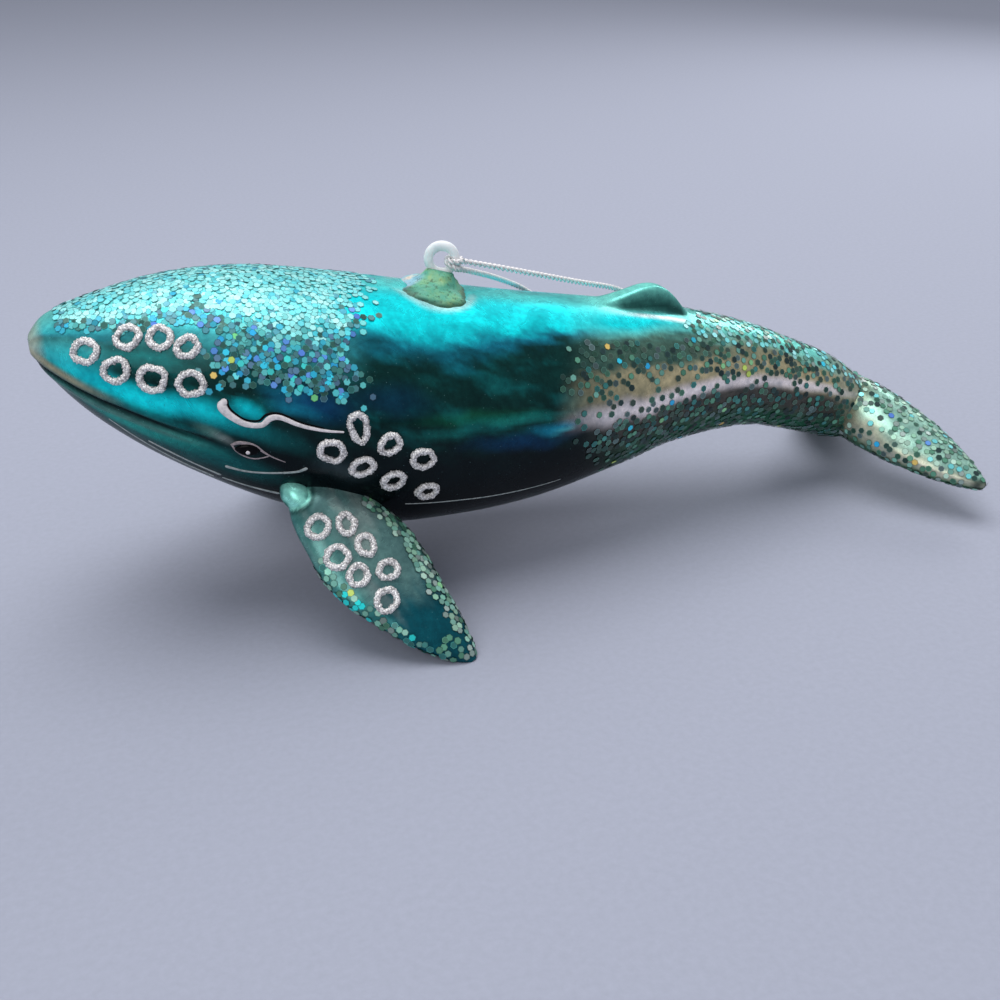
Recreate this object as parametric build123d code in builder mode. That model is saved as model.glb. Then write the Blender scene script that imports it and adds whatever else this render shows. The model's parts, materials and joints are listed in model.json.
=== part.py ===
from build123d import *
import os
from math import cos, degrees, pi, radians, sin, tan

os.makedirs("parts", exist_ok=True)

# Blown glass whale ornament, millimetres. The head points to -X, the whale's left side to -Y, and Z is up.
# It stands on both flipper tips and the right fluke tip. The origin is on the table, under the middle of it.

# Whole body
overall_length = 160.0
body_height = 41.8
body_width = 40.8
snout_height = 45.4
glass_wall = 1.0

# Mouth, eyes and dorsal fin, all moulded in the glass
mouth_width = 0.9
mouth_depth = 0.5
lip_width = 1.1
lip_rise = 0.35
eye_length = 5.4
eye_height = 2.3
eye_rise = 0.35
dorsal_rise = 3.7
dorsal_width = 6.4
dorsal_root = 2.0

# Flippers: leaves of solid glass, fused on low behind the head
flipper_stance = 76.0
flipper_tip_setback = 55.9
flipper_chord = 16.0
flipper_thickness = 6.4
flipper_root_depth = 5.0
flipper_pitch = 10.0
flipper_toe = 0.4

# Tail flukes: two puffy lobes fused on the end of the tail stock
fluke_span = 56.0
fluke_chord = 15.0
fluke_thickness = 11.6
left_fluke_tip_rise = 7.0
fluke_toe = 0.4
fluke_tip_round = 1.4

# Sealed neck, its dome of cement and the hanging ring
neck_hole_diameter = 4.0
neck_plug_depth = 2.2
dome_base_diameter = 11.4
dome_height = 3.3
ring_outer_diameter = 5.7
ring_wire = 1.48
ring_sink = 0.7
ring_turn = 17.0

# Beads of silver glitter glue, laid as small closed rings
glue_ring_length = 4.7
glue_ring_width = 4.3
bead_width = 1.25
bead_rise = 0.65
bead_sink = 0.3
bead_slope = 20.0

# Hanging thread: two strands from the hitch on the ring to the knot on the table
thread_diameter = 0.95
hitch_angle = -22.0
hitch_gap = 0.1
knot_diameter = 2.7
knot_length = 3.2
arc_share = 0.45

overrun = 5.0

# How many flat sides stand in for the round of each form
body_sides = 24
hollow_sides = 10
leaf_sides = 10
dome_sides = 10
fin_sides = 8
bead_sides = 8
thread_sides = 6

# Body sections from the snout to the tail stock. Each row holds a share of the overall length, then the
# section's middle as a share of the snout height, its half height as a share of the body height and its
# half width as a share of the body width.
body_station_shares = [
    (0.0000, 1.000, 0.026, 0.028),
    (0.0044, 0.998, 0.057, 0.061),
    (0.0175, 0.982, 0.120, 0.127),
    (0.0610, 0.916, 0.242, 0.255),
    (0.1340, 0.837, 0.373, 0.382),
    (0.2100, 0.753, 0.457, 0.461),
    (0.3000, 0.656, 0.500, 0.500),
    (0.3980, 0.601, 0.476, 0.485),
    (0.4890, 0.574, 0.431, 0.434),
    (0.5840, 0.574, 0.364, 0.363),
    (0.6575, 0.578, 0.301, 0.299),
    (0.7605, 0.529, 0.234, 0.225),
    (0.8305, 0.441, 0.210, 0.191),
    (0.8875, 0.357, 0.191, 0.167),
    (0.9250, 0.300, 0.134, 0.127),
    (0.9400, 0.275, 0.070, 0.070),
]

# The mouth line on the side of the head: share of the overall length, share of the snout height
mouth_line_shares = [
    (-0.0100, 0.992),
    (0.0090, 0.953),
    (0.0440, 0.881),
    (0.0780, 0.826),
    (0.1140, 0.771),
    (0.1560, 0.716),
]
eye_shares = (0.1760, -15.5)

# Dorsal fin from front to back: share of the overall length, of the fin's rise and of its width
dorsal_shares = [
    (0.5760, 0.00, 0.30),
    (0.6100, 0.50, 0.80),
    (0.6430, 1.00, 1.00),
    (0.6640, 0.82, 0.80),
    (0.6800, 0.05, 0.30),
]

# Flipper sections from the root to the tip: share of the span, of the chord, of the thickness, and of the
# chord again for the shift towards the trailing edge
flipper_root_shares = (0.2575, -36.0)
flipper_shares = [
    (0.00, 0.66, 0.80, -0.13),
    (0.15, 0.88, 1.00, -0.10),
    (0.38, 1.00, 0.96, -0.08),
    (0.62, 0.85, 0.78, -0.07),
    (0.84, 0.52, 0.58, -0.02),
    (1.00, 0.12, 0.26, 0.03),
]

# Fluke lobe sections from the root to the tip: share of the span, of the chord, of the thickness
fluke_root_shares = (0.9130, 0.320)
fluke_shares = [
    (0.00, 0.72, 1.00),
    (0.25, 0.98, 0.90),
    (0.52, 0.93, 0.63),
    (0.82, 0.53, 0.39),
    (1.00, 0.14, 0.16),
]

# Where the neck was sealed, as a share of the overall length along the back, and the dome of cement over
# it from its skirt to its top: share of its height, of its base diameter, and of that again for its lean
neck_share = 0.3960
dome_shares = [
    (-0.48, 1.02, -0.03),
    (0.00, 1.00, -0.03),
    (0.36, 0.62, 0.02),
    (1.00, 0.36, 0.05),
]

# The knot from end to end: share of its length and of its diameter
knot_shares = [
    (-0.50, 0.62),
    (-0.30, 1.00),
    (0.00, 0.84),
    (0.28, 1.00),
    (0.50, 0.60),
]

# Glue rings on the body: share of the overall length, degrees above the side, shares of the ring's length
# and width, and its turn
head_ring_shares = [
    (0.0480, 26.0, 0.98, 1.00, 10.0),
    (0.0865, 40.0, 0.96, 1.00, -25.0),
    (0.1140, 40.0, 0.92, 0.98, 15.0),
    (0.1360, 35.0, 0.92, 0.92, -20.0),
    (0.0715, 15.0, 1.02, 1.02, -15.0),
    (0.1015, 14.0, 1.04, 1.04, 20.0),
    (0.1340, 15.0, 1.00, 1.04, 0.0),
]
flank_ring_shares = [
    (0.2800, 8.0, 1.12, 0.92, 80.0),
    (0.2530, -5.0, 1.02, 1.00, 30.0),
    (0.3090, 2.0, 0.92, 0.96, -30.0),
    (0.3410, -5.0, 0.98, 0.98, 20.0),
    (0.2810, -10.5, 0.98, 0.88, -20.0),
    (0.3120, -16.5, 0.94, 0.92, -25.0),
    (0.3475, -23.5, 0.92, 0.94, 15.0),
]
# Glue rings on a flipper: share of the span, of the chord towards the trailing edge, length, width, turn
flipper_ring_shares = [
    (0.200, -0.32, 0.86, 0.92, 20.0),
    (0.230, -0.04, 0.82, 0.88, 60.0),
    (0.350, -0.34, 0.86, 0.90, -20.0),
    (0.370, 0.00, 0.80, 0.86, 70.0),
    (0.480, -0.27, 0.82, 0.88, 35.0),
    (0.530, 0.02, 0.82, 0.88, -10.0),
    (0.640, -0.16, 0.84, 0.90, 30.0),
]

# The strands' routes, chosen by hand: over the back, down the far side, and along the table to the knot
upper_strand_points = [
    (-12.3, -0.5, 51.2),
    (-5.4, 0.8, 49.0),
    (3.0, 3.2, 46.0),
    (12.6, 6.6, 42.4),
    (21.6, 10.8, 39.1),
    (28.4, 15.6, 34.0),
    (32.2, 19.6, 26.2),
    (33.6, 21.8, 16.8),
    (33.2, 24.2, 7.4),
    (29.6, 28.2, 1.1),
    (22.4, 31.6, 0.62),
    (15.0, 33.4, 0.62),
    (9.6, 33.7, 1.3),
]
lower_strand_points = [
    (-12.75, -0.5, 49.95),
    (-7.6, 3.6, 47.4),
    (-1.6, 9.4, 43.8),
    (5.4, 14.6, 39.4),
    (12.0, 19.0, 32.6),
    (17.2, 22.2, 23.6),
    (20.0, 23.6, 14.0),
    (20.8, 25.8, 5.8),
    (18.6, 29.2, 1.0),
    (14.2, 31.8, 0.62),
    (9.6, 32.5, 1.3),
]
knot_centre = (8.1, 33.1, 1.35)


def place(length_share):
    return (length_share - 0.5) * overall_length


def oval(plane, across, half_width, half_height, sides):
    # A flat face on the plane: an ellipse drawn with flat sides that touch it, shifted across the plane
    reach_x = half_width / cos(pi / sides)
    reach_y = half_height / cos(pi / sides)
    turns = [2 * pi * (count + 0.5) / sides for count in range(sides)]
    points = [(across[0] + reach_x * cos(turn), across[1] + reach_y * sin(turn)) for turn in turns]
    with BuildSketch(plane) as section:
        with BuildLine():
            Polyline(*points, close=True)
        make_face()
    return section.sketch.faces()[0]


def body_form(grow):
    # The whole whale's body, each section grown or shrunk by the same amount
    faces = []
    for length_share, middle_share, height_share, width_share in body_station_shares:
        middle = (0, middle_share * snout_height)
        half_width = width_share * body_width + grow
        half_height = height_share * body_height + grow
        faces.append(oval(Plane.YZ.offset(place(length_share)), middle, half_width, half_height, body_sides))
    with BuildPart() as form:
        loft(sections=faces)
    return form.part


skin = body_form(0)

# The hollow is round, and its corners, not its flat sides, keep the wall's thickness
with BuildPart() as hollow:
    hollow_faces = []
    for length_share, middle_share, height_share, width_share in body_station_shares[2::2]:
        middle = (0, middle_share * snout_height)
        half_width = min(width_share * body_width, height_share * body_height)
        half_width = (half_width - glass_wall) * cos(pi / hollow_sides)
        hollow_plane = Plane.YZ.offset(place(length_share))
        hollow_faces.append(oval(hollow_plane, middle, half_width, half_width, hollow_sides))
    loft(sections=hollow_faces)


def middle_height(length_share):
    # The section's middle, taken straight between the two stations beside it
    rows = [station[:2] for station in body_station_shares]
    before = max(row for row in rows if row[0] <= length_share)
    after = min(row for row in rows if row[0] > length_share)
    part_way = (length_share - before[0]) / (after[0] - before[0])
    return (before[1] + part_way * (after[1] - before[1])) * snout_height


def seat_on(form, start, outwards, lengthways):
    # The plane that touches the form where a line from inside it comes out
    point, normal = form.find_intersection_points(Axis(start, outwards))[-1]
    facing = normal if normal.dot(outwards) > 0 else normal * -1
    return Plane(origin=point, x_dir=lengthways, z_dir=facing)


def on_skin(length_share, angle, side):
    start = Vector(place(length_share), 0, middle_height(length_share))
    outwards = Vector(0, side * cos(radians(angle)), sin(radians(angle)))
    return seat_on(skin, start, outwards, Vector(1, 0, 0))


# The glass body: its skin, the lip and the dorsal fin, less the mouth groove, the hollow and the neck hole


def mouth_band(width, shift):
    # A band that follows the mouth line, seen from the side, right across the head
    points = [(place(a), b * snout_height + shift) for a, b in mouth_line_shares]
    with BuildPart() as band:
        with BuildSketch(Plane.XZ):
            with BuildLine():
                upper = Polyline(*points)
                lower = Polyline(*[(x, z - width) for x, z in points])
                Line(upper @ 0, lower @ 0)
                Line(upper @ 1, lower @ 1)
            make_face()
        extrude(amount=body_width / 2, both=True)
    return band.part


with BuildPart() as lip:
    add(mouth_band(lip_width, lip_width))
    add(body_form(lip_rise), mode=Mode.INTERSECT)

with BuildPart() as mouth_groove:
    add(mouth_band(mouth_width, 0))
    add(body_form(-mouth_depth), mode=Mode.SUBTRACT)

with BuildPart() as dorsal_fin:
    fin_faces = []
    for length_share, rise_share, width_share in dorsal_shares:
        back = on_skin(length_share, 90.0, 1).origin
        half_height = (rise_share * dorsal_rise + dorsal_root) / 2
        middle = (0, back.Z + rise_share * dorsal_rise - half_height)
        half_width = width_share * dorsal_width / 2
        fin_faces.append(oval(Plane.YZ.offset(back.X), middle, half_width, half_height, fin_sides))
    loft(sections=fin_faces)

neck = on_skin(neck_share, 90.0, 1)

with BuildPart() as body_shell:
    add(skin)
    add(lip.part)
    add(dorsal_fin.part)
    for side in (-1, 1):
        eye_seat = on_skin(*eye_shares, side).offset(-eye_rise)
        extrude(oval(eye_seat, (0, 0), eye_length / 2, eye_height / 2, leaf_sides), amount=2 * eye_rise)
    add(mouth_groove.part, mode=Mode.SUBTRACT)
    add(hollow.part, mode=Mode.SUBTRACT)
    with Locations(neck):
        Hole(neck_hole_diameter / 2, depth=overrun)
body_shell.part.label = "body_shell"
export_step(body_shell.part, "parts/body_shell.step")

# Flippers. The left one is made in place and the right one is its mirror image.
flipper_root = on_skin(*flipper_root_shares, -1).origin
flipper_tip = Vector(-overall_length / 2 + flipper_tip_setback, -flipper_stance / 2, 0)
flipper_span = (flipper_tip - flipper_root).length
flipper_slope = Vector(cos(radians(flipper_pitch)), 0, -sin(radians(flipper_pitch)))
flipper_plane = Plane(origin=flipper_root, x_dir=flipper_slope, z_dir=flipper_tip - flipper_root)


def flipper_reach(span_share):
    # From inside the body to just past the tip, whose toe is worn flat on the table
    return -flipper_root_depth + span_share * (flipper_root_depth + flipper_span + flipper_toe)


with BuildPart() as left_flipper:
    flipper_faces = []
    for span_share, chord_share, thickness_share, shift_share in flipper_shares:
        half_chord = chord_share * flipper_chord / 2
        half_thickness = thickness_share * flipper_thickness / 2
        across = (shift_share * flipper_chord, 0)
        level = flipper_plane.offset(flipper_reach(span_share))
        flipper_faces.append(oval(level, across, half_chord, half_thickness, leaf_sides))
    loft(sections=flipper_faces)
    split(bisect_by=Plane.XY, keep=Keep.TOP)
    add(skin, mode=Mode.SUBTRACT)
left_flipper.part.label = "left_flipper"
export_step(left_flipper.part, "parts/left_flipper.step")

with BuildPart() as right_flipper:
    mirror(left_flipper.part, about=Plane.XZ)
right_flipper.part.label = "right_flipper"
export_step(right_flipper.part, "parts/right_flipper.step")

# Tail flukes: the left tip is carried a little higher than the right one, which touches the table
fluke_root = Vector(place(fluke_root_shares[0]), 0, fluke_root_shares[1] * snout_height)


def fluke_lobe(side, tip_rise):
    tip = Vector(overall_length / 2 - fluke_tip_round, side * fluke_span / 2, tip_rise)
    across = Plane(origin=fluke_root, x_dir=(1, 0, 0), z_dir=tip - fluke_root)
    span = (tip - fluke_root).length
    faces = []
    for span_share, chord_share, thickness_share in fluke_shares:
        half_chord = chord_share * fluke_chord / 2
        half_thickness = thickness_share * fluke_thickness / 2
        faces.append(oval(across.offset(span_share * span), (0, 0), half_chord, half_thickness, leaf_sides))
    with BuildPart() as lobe:
        loft(sections=faces)
    return lobe.part


with BuildPart() as tail_flukes:
    add(fluke_lobe(-1, left_fluke_tip_rise))
    add(fluke_lobe(1, fluke_toe))
    split(bisect_by=Plane.XY, keep=Keep.TOP)
    add(skin, mode=Mode.SUBTRACT)
tail_flukes.part.label = "tail_flukes"
export_step(tail_flukes.part, "parts/tail_flukes.step")

# Cement dome over the sealed neck, with its plug in the neck hole, and the ring set in its top
ring_radius = (ring_outer_diameter - ring_wire) / 2
ring_centre = neck.origin + neck.z_dir * (dome_height + ring_outer_diameter / 2 - ring_sink)
ring_right = Vector(cos(radians(ring_turn)), -sin(radians(ring_turn)), 0)
ring_facing = Vector(sin(radians(ring_turn)), cos(radians(ring_turn)), 0)
ring_plane = Plane(origin=ring_centre, x_dir=ring_right, z_dir=-ring_facing)


def disc(plane, radius, sides):
    return oval(plane, (0, 0), radius, radius, sides)


with BuildPart() as hanging_ring:
    ring_side = ring_centre + ring_right * ring_radius
    ring_section = Plane(origin=ring_side, x_dir=ring_right, z_dir=ring_right.cross(ring_facing))
    revolve(disc(ring_section, ring_wire / 2, bead_sides), Axis(ring_centre, ring_facing))
hanging_ring.part.label = "hanging_ring"
export_step(hanging_ring.part, "parts/hanging_ring.step")

with BuildPart() as cement_dome:
    dome_levels = []
    for height_share, width_share, lean_share in dome_shares:
        level = neck.offset(height_share * dome_height)
        lean = (lean_share * dome_base_diameter, 0)
        half_width = width_share * dome_base_diameter / 2
        dome_levels.append(oval(level, lean, half_width, half_width, dome_sides))
    loft(sections=dome_levels, ruled=True)
    add(skin, mode=Mode.SUBTRACT)
    with Locations(neck):
        Cylinder(neck_hole_diameter / 2, 2 * neck_plug_depth)
    add(hanging_ring.part, mode=Mode.SUBTRACT)
cement_dome.part.label = "cement_dome"
export_step(cement_dome.part, "parts/cement_dome.step")

# Hanging thread: a lark's head hitch of two wraps with a bridge over them, two strands and the knot
wrap_radius = (ring_wire + thread_diameter) / 2 + hitch_gap
wrap_step = degrees(thread_diameter / ring_radius)


def wire_plane(angle):
    # At a place on the ring's wire: X points away from the ring's middle and Z lies along the wire
    turn = radians(angle)
    outwards = ring_plane.x_dir * cos(turn) + ring_plane.y_dir * sin(turn)
    along = ring_plane.y_dir * cos(turn) - ring_plane.x_dir * sin(turn)
    return Plane(origin=ring_centre + outwards * ring_radius, x_dir=outwards, z_dir=along)


def thread_wrap(wire):
    # One flat-sided turn of thread round the ring's wire, its outer edges eased
    level = wire.offset(-thread_diameter / 2)
    outside = disc(level, wrap_radius + thread_diameter / 2, bead_sides)
    inside = disc(level, wrap_radius - thread_diameter / 2, bead_sides)
    with BuildPart() as wrap:
        extrude(outside, amount=thread_diameter)
        chamfer(wrap.edges().filter_by(wire), thread_diameter / 4)
        extrude(inside, amount=thread_diameter, mode=Mode.SUBTRACT)
    return wrap.part


with BuildPart() as thread_hitch:
    for side in (-1, 1):
        add(thread_wrap(wire_plane(hitch_angle + side * wrap_step / 2)))
    wire = wire_plane(hitch_angle)
    bridge_start = wire.origin + (wire.x_dir + ring_facing) * wrap_radius - wire.z_dir * thread_diameter
    bridge_plane = Plane(origin=bridge_start, x_dir=wire.x_dir, z_dir=wire.z_dir)
    extrude(disc(bridge_plane, thread_diameter / 2, thread_sides), amount=2 * thread_diameter)
thread_hitch.part.label = "thread_hitch"
export_step(thread_hitch.part, "parts/thread_hitch.step")


def strand(points):
    # A tube along straight runs joined by arcs, each arc as large as its two runs allow
    corners = [Vector(*point) for point in points]
    runs = [after - before for before, after in zip(corners, corners[1:])]
    radii = []
    for before, after in zip(runs, runs[1:]):
        half_turn = radians(before.get_angle(after)) / 2
        radii.append(arc_share * min(before.length, after.length) / tan(half_turn))
    with BuildPart() as tube:
        with BuildLine() as route:
            FilletPolyline(*points, radius=radii)
        path = route.wire()
        section = disc(Plane(origin=path @ 0, z_dir=path % 0), thread_diameter / 2, thread_sides)
        sweep(section, path=path)
    print("Strand arc radii", [round(radius, 1) for radius in radii])
    print("Strand length", round(path.length, 1), "volume", round(tube.part.volume, 2))
    print("Section times length", round(section.area * path.length, 2))
    return tube.part


for name, points in (("upper", upper_strand_points), ("lower", lower_strand_points)):
    thread_strand = strand(points)
    thread_strand.label = f"thread_{name}_strand"
    export_step(thread_strand, f"parts/thread_{name}_strand.step")

with BuildPart() as thread_knot:
    knot_plane = Plane(origin=knot_centre, x_dir=(0, 1, 0), z_dir=(-1, 0, 0))
    knot_levels = []
    for length_share, width_share in knot_shares:
        level = knot_plane.offset(length_share * knot_length)
        knot_levels.append(disc(level, width_share * knot_diameter / 2, bead_sides))
    loft(sections=knot_levels, ruled=True)
thread_knot.part.label = "thread_knot"
export_step(thread_knot.part, "parts/thread_knot.step")


# Glue rings, each one bead closed on itself and seated on the glass


def glue_bead(seat, length_share, width_share, turn):
    lengthways = seat.x_dir * cos(radians(turn)) + seat.y_dir * sin(radians(turn))
    plane = Plane(origin=seat.origin, x_dir=lengthways, z_dir=seat.z_dir).offset(-bead_sink)
    half_length = length_share * glue_ring_length / 2
    half_width = width_share * glue_ring_width / 2
    height = bead_rise + bead_sink
    slope = height * tan(radians(bead_slope)) / 2
    outer = oval(plane, (0, 0), half_length + slope, half_width + slope, bead_sides)
    inner = oval(plane, (0, 0), half_length - bead_width, half_width - bead_width, bead_sides)
    with BuildPart() as bead:
        extrude(outer, amount=height, taper=bead_slope)
        extrude(inner, amount=height, mode=Mode.SUBTRACT)
    return bead.part


def body_beads(shares, side):
    with BuildPart() as beads:
        for length_share, angle, bead_length, bead_breadth, turn in shares:
            add(glue_bead(on_skin(length_share, angle, side), bead_length, bead_breadth, side * turn))
        add(skin, mode=Mode.SUBTRACT)
    return beads.part


def flipper_beads():
    with BuildPart() as beads:
        for span_share, chord_share, bead_length, bead_breadth, turn in flipper_ring_shares:
            start = flipper_plane.origin + flipper_plane.x_dir * chord_share * flipper_chord
            start = start + flipper_plane.z_dir * flipper_reach(span_share)
            seat = seat_on(left_flipper.part, start, flipper_plane.y_dir, flipper_plane.x_dir)
            add(glue_bead(seat, bead_length, bead_breadth, turn))
        add(left_flipper.part, mode=Mode.SUBTRACT)
    return beads.part


for side_name, side in (("left", -1), ("right", 1)):
    for spot, shares in (("head", head_ring_shares), ("flank", flank_ring_shares)):
        glue_rings = body_beads(shares, side)
        glue_rings.label = f"{side_name}_{spot}_glue_rings"
        export_step(glue_rings, f"parts/{glue_rings.label}.step")

left_flipper_rings = flipper_beads()
left_flipper_rings.label = "left_flipper_glue_rings"
export_step(left_flipper_rings, "parts/left_flipper_glue_rings.step")

with BuildPart() as right_flipper_rings:
    mirror(left_flipper_rings, about=Plane.XZ)
right_flipper_rings.part.label = "right_flipper_glue_rings"
export_step(right_flipper_rings.part, "parts/right_flipper_glue_rings.step")
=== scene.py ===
import json
from math import cos, pi, radians, sin, sqrt
from random import Random

import bmesh
import bpy
from mathutils import Matrix, Vector
from mathutils.bvhtree import BVHTree
from mathutils.noise import fractal, noise, voronoi

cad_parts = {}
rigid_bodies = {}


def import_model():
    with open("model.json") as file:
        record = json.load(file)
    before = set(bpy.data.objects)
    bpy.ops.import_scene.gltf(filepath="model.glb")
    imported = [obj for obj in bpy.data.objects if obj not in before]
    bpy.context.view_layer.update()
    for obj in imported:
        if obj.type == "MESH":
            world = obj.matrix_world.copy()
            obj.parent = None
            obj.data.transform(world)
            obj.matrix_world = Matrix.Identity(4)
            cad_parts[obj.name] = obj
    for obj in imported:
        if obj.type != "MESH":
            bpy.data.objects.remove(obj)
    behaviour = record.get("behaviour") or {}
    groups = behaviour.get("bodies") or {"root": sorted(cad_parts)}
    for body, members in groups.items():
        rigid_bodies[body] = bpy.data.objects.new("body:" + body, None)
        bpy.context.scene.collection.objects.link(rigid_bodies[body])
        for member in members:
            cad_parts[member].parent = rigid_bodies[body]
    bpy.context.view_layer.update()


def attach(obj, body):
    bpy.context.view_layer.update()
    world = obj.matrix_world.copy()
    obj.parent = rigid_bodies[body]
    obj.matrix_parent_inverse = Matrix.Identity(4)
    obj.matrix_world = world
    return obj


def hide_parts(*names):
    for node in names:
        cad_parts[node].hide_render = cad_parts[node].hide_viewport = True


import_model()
scene = bpy.context.scene
mm = 0.001
bothSides = (("left", -1), ("right", 1))
print("Frame loaded")

# The camera stands low in front of the whale's left side and looks along it towards the tail
camera = {"place": (-76.2, -195, 116), "tilt": 62, "turn": -20, "lens": 46.8}


def addCamera():
    data = bpy.data.cameras.new("camera")
    data.lens = camera["lens"]
    data.sensor_width = 36
    data.clip_start, data.clip_end = 0.005, 20
    seen = bpy.data.objects.new("camera", data)
    seen.location = Vector(camera["place"]) * mm
    seen.rotation_euler = (radians(camera["tilt"]), 0, radians(camera["turn"]))
    scene.collection.objects.link(seen)
    scene.camera = seen


addCamera()


# Small helpers for every piece

def newObject(name, bm, material, *nodes, slotName="lacquered_glass"):
    # A finished piece from its bmesh: shaded smooth, riding, with its material and the nodes that it stands for
    mesh = bpy.data.meshes.new(name)
    bm.to_mesh(mesh)
    bm.free()
    mesh.shade_smooth()
    piece = bpy.data.objects.new(name, mesh)
    scene.collection.objects.link(piece)
    mesh.materials.append(material)
    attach(piece, "root")
    if nodes:
        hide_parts(*nodes)
    return piece


def evaluatedMesh(piece):
    # The piece's mesh as its modifiers leave it
    bpy.context.view_layer.update()
    return bpy.data.meshes.new_from_object(piece.evaluated_get(bpy.context.evaluated_depsgraph_get()))


def smoothRow(rows, at):
    # A row read between the given ones, on a curve through them. The first number of a row is its place.
    last = len(rows) - 2
    index = 0
    while index < last and rows[index + 1][0] < at:
        index += 1
    before, after = rows[index], rows[index + 1]
    span = after[0] - before[0]
    share = min(max((at - before[0]) / span, 0), 1)
    result = []
    for column in range(1, len(before)):
        slopes = []
        for middle in (index, index + 1):
            low, high = rows[max(middle - 1, 0)], rows[min(middle + 1, len(rows) - 1)]
            slopes.append((high[column] - low[column]) / (high[0] - low[0]) * span)
        square, cube = share * share, share ** 3
        result.append(
            (2 * cube - 3 * square + 1) * before[column] + (cube - 2 * square + share) * slopes[0]
            + (3 * square - 2 * cube) * after[column] + (cube - square) * slopes[1]
        )
    return result


def wrapGrid(steps, sides, placeAt, closed=False):
    # A flat grid bent round into a tube. placeAt(step, turn) gives a place in metres, the turn in radians.
    bm = bmesh.new()
    made = bmesh.ops.create_grid(bm, x_segments=steps, y_segments=sides, size=1)
    for vert in made["verts"]:
        vert.co = placeAt(round((vert.co.x + 1) / 2 * steps), (vert.co.y + 1) * pi)
    bmesh.ops.remove_doubles(bm, verts=bm.verts, dist=1e-6)
    if not closed:
        bmesh.ops.holes_fill(bm, edges=[edge for edge in bm.edges if edge.is_boundary])
    bmesh.ops.recalc_face_normals(bm, faces=bm.faces)
    bm.normal_update()
    return bm


def wrapSections(sections, sides, closed=False):
    # A tube through sections, each a matrix that carries a unit circle to its place
    def placeAt(step, turn):
        return sections[step] @ Vector((cos(turn), sin(turn), 0))

    return wrapGrid(len(sections) - 1, sides, placeAt, closed)


def seatMatrix(place, normal, lengthways=Vector((1, 0, 0))):
    # Z along the normal, X as near to lengthways as it can be
    up = normal.normalized()
    side = up.cross(lengthways).normalized()
    return Matrix.Translation(place) @ Matrix((side.cross(up), side, up)).transposed().to_4x4()


def bump(distance, reach):
    # 1 at no distance, easing to 0 at the reach
    share = min(abs(distance) / reach, 1)
    return (1 - share * share) ** 2


def ramp(value, low, high):
    share = min(max((value - low) / (high - low), 0), 1)
    return share * share * (3 - 2 * share)


def blendTone(first, second, share):
    return tuple(a + (b - a) * share for a, b in zip(first, second))


def paintVerts(mesh, toneAt):
    # A colour for each vertex, read by the materials as an attribute
    attribute = mesh.color_attributes.new("tone", "FLOAT_COLOR", "POINT")
    values = []
    for vert in mesh.vertices:
        values.extend((*toneAt(vert.co / mm, vert.normal), 1))
    attribute.data.foreach_set("color", values)


# Materials

def newMaterial(name):
    material = bpy.data.materials.new(name)
    material.use_nodes = True
    return material, material.node_tree, material.node_tree.nodes["Principled BSDF"]


def setInputs(node, values):
    # Numbers and colours are set on the node's own sockets, and other nodes' outputs are linked to them
    for name, value in values.items():
        if isinstance(value, bpy.types.NodeSocket):
            node.id_data.links.new(value, node.inputs[name])
        else:
            node.inputs[name].default_value = value


def addPattern(tree, kind, scale, **inputs):
    # The outputs of a texture on Object coordinates, its scale in features for each metre
    place = tree.nodes.new("ShaderNodeTexCoord")
    pattern = tree.nodes.new("ShaderNodeTex" + kind)
    setInputs(pattern, {"Vector": place.outputs["Object"], "Scale": scale, **inputs})
    return pattern.outputs


def paintedTone(tree):
    node = tree.nodes.new("ShaderNodeAttribute")
    node.attribute_name = "tone"
    return node.outputs["Color"]


def oneChannel(tone, channel):
    node = tone.id_data.nodes.new("ShaderNodeSeparateColor")
    setInputs(node, {"Color": tone})
    return node.outputs[channel]


def addRamp(source, *stops):
    # Each stop is a place and a colour, or a place and a grey
    node = source.id_data.nodes.new("ShaderNodeValToRGB")
    elements = node.color_ramp.elements
    while len(elements) < len(stops):
        elements.new(0.5)
    for element, (place, tone) in zip(elements, stops):
        element.position = place
        element.color = (*tone, 1) if isinstance(tone, tuple) else (tone, tone, tone, 1)
    setInputs(node, {"Fac": source})
    return node.outputs["Color"]


def mixTones(mode, first, second, share=1):
    node = first.id_data.nodes.new("ShaderNodeMix")
    node.data_type, node.blend_type = "RGBA", mode
    setInputs(node, {0: share, 6: first, 7: second})  # its factor and its two colours
    return node.outputs[2]


def addBump(shader, height, strength, distance):
    node = shader.id_data.nodes.new("ShaderNodeBump")
    setInputs(node, {"Height": height, "Strength": strength, "Distance": distance})
    setInputs(shader, {"Normal": node.outputs["Normal"]})


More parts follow.
